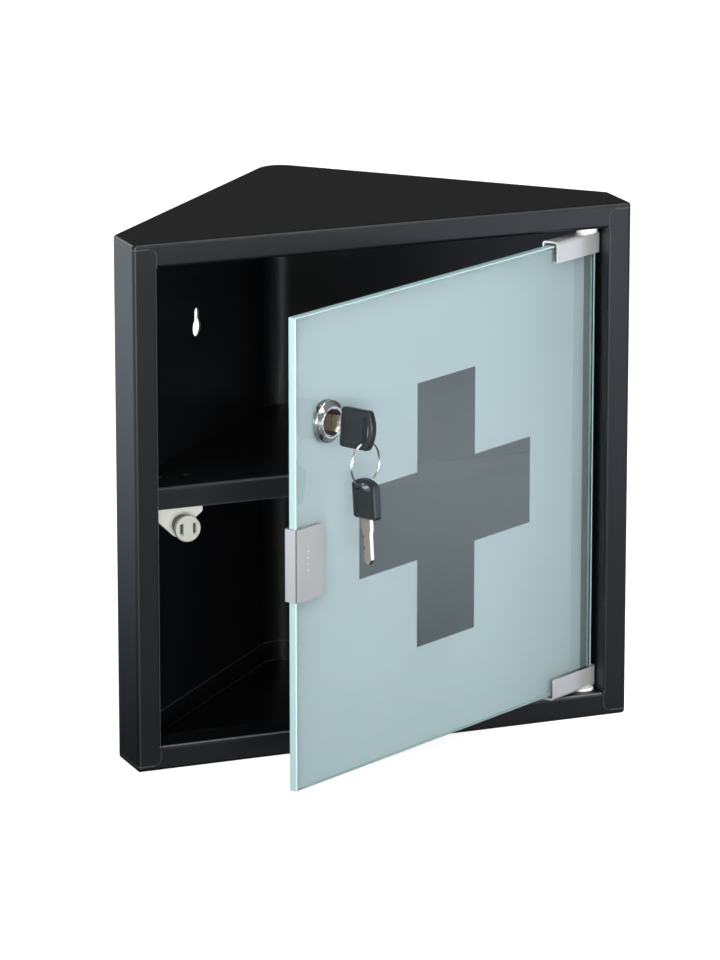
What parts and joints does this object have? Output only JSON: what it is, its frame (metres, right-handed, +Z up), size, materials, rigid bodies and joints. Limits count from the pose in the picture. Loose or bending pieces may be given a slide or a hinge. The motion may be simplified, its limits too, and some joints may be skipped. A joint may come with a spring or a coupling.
{
  "type": "medicine cabinet",
  "caption": "Wall-hung corner medicine cabinet in black steel with a shelf, a frosted glass door with a clear cross, a cam lock with keys, and a magnetic push latch.",
  "frame": {"origin": "middle of the body's footprint, on its underside", "axes": "+Z up, the door's side faces -Y, the corner of the two walls is at +Y, hinges on the right at +X"},
  "size_m": [0.3, 0.3149, 0.302],
  "materials": {
    "black_powder_coat": "satin powder coat",
    "frosted_glass": "etched on the back, with a clear cross",
    "brushed_steel": "fine brushed",
    "white_nylon": "natural nylon",
    "clear_vinyl": "soft translucent",
    "steel_screw": "zinc plated",
    "steel_pin": "bright drawn",
    "lock_chrome": "polished chrome",
    "dark_zinc": "dark nickel",
    "lock_brass": "plain",
    "key_nickel": "nickel plated",
    "black_plastic": "satin",
    "white_plastic": "satin",
    "magnet_steel": "plain"
  },
  "bodies": {
    "cabinet": {"body_wrapper": "black_powder_coat", "bottom_panel": "black_powder_coat", "top_panel": "black_powder_coat", "shelf": "black_powder_coat", "pivot_bushing_top": "white_nylon", "pivot_bushing_bottom": "white_nylon", "latch_bracket": "white_plastic", "latch_screws": "steel_screw", "latch_housing": "white_plastic", "latch_spring": "steel_pin"},
    "door": {"door_glass": "frosted_glass", "hinge_clip_top": "brushed_steel", "hinge_clip_bottom": "brushed_steel", "clip_liner_top": "clear_vinyl", "clip_liner_bottom": "clear_vinyl", "clip_set_screws": "steel_screw", "pivot_pin_top": "steel_pin", "pivot_pin_bottom": "steel_pin", "pivot_spacer": "white_nylon", "keeper_plate": "brushed_steel", "keeper_liner": "clear_vinyl", "lock_body": "lock_chrome", "lock_gasket": "clear_vinyl", "lock_washer": "steel_screw", "lock_nut": "lock_chrome"},
    "lock_plug_and_cam": {"lock_plug": "dark_zinc", "lock_wafers": "lock_brass", "lock_cam": "steel_screw", "cam_screw": "steel_screw"},
    "key": {"key_blade": "key_nickel", "key_bow": "black_plastic"},
    "ring": {"key_ring": "key_nickel"},
    "spare_key": {"spare_key_blade": "key_nickel", "spare_key_bow": "black_plastic"},
    "latch_plunger": {"latch_plunger": "white_plastic", "latch_magnet": "magnet_steel"}
  },
  "joints": [
    {"name": "door_hinge", "type": "hinge", "parent": "cabinet", "child": "door", "pos_m": [0.128, -0.075, 0], "axis": [0, 0, 1], "range_deg": [-28.7, 73]},
    {"name": "lock_turn", "type": "hinge", "parent": "door", "child": "lock_plug_and_cam", "pos_m": [-0.07623, -0.18966, 0.22], "axis": [0.4802, -0.8771, 0], "range_deg": [0, 95.4]},
    {"name": "key_pull", "type": "slide", "parent": "lock_plug_and_cam", "child": "key", "axis": [0.4802, -0.8771, 0], "range_m": [0, 0.03]},
    {"name": "ring_hang", "type": "hinge", "parent": "key", "child": "ring", "pos_m": [-0.06075, -0.2122, 0.2085], "axis": [0.4802, -0.8771, 0], "range_deg": [-95.4, 0]},
    {"name": "spare_key_swing", "type": "hinge", "parent": "ring", "child": "spare_key", "pos_m": [-0.06496, -0.2145, 0.20128], "axis": [0.4802, -0.8771, 0], "range_deg": [-45, 45]},
    {"name": "latch_push", "type": "slide", "parent": "cabinet", "child": "latch_plunger", "axis": [0, 1, 0], "range_m": [0, 0.005], "stiffness_N_per_m": 200, "springref_m": -0.005, "deforming": ["latch_spring"]}
  ],
  "couplings": [
    {"joint": "ring_hang", "follows": "lock_turn", "ratio": -1}
  ]
}
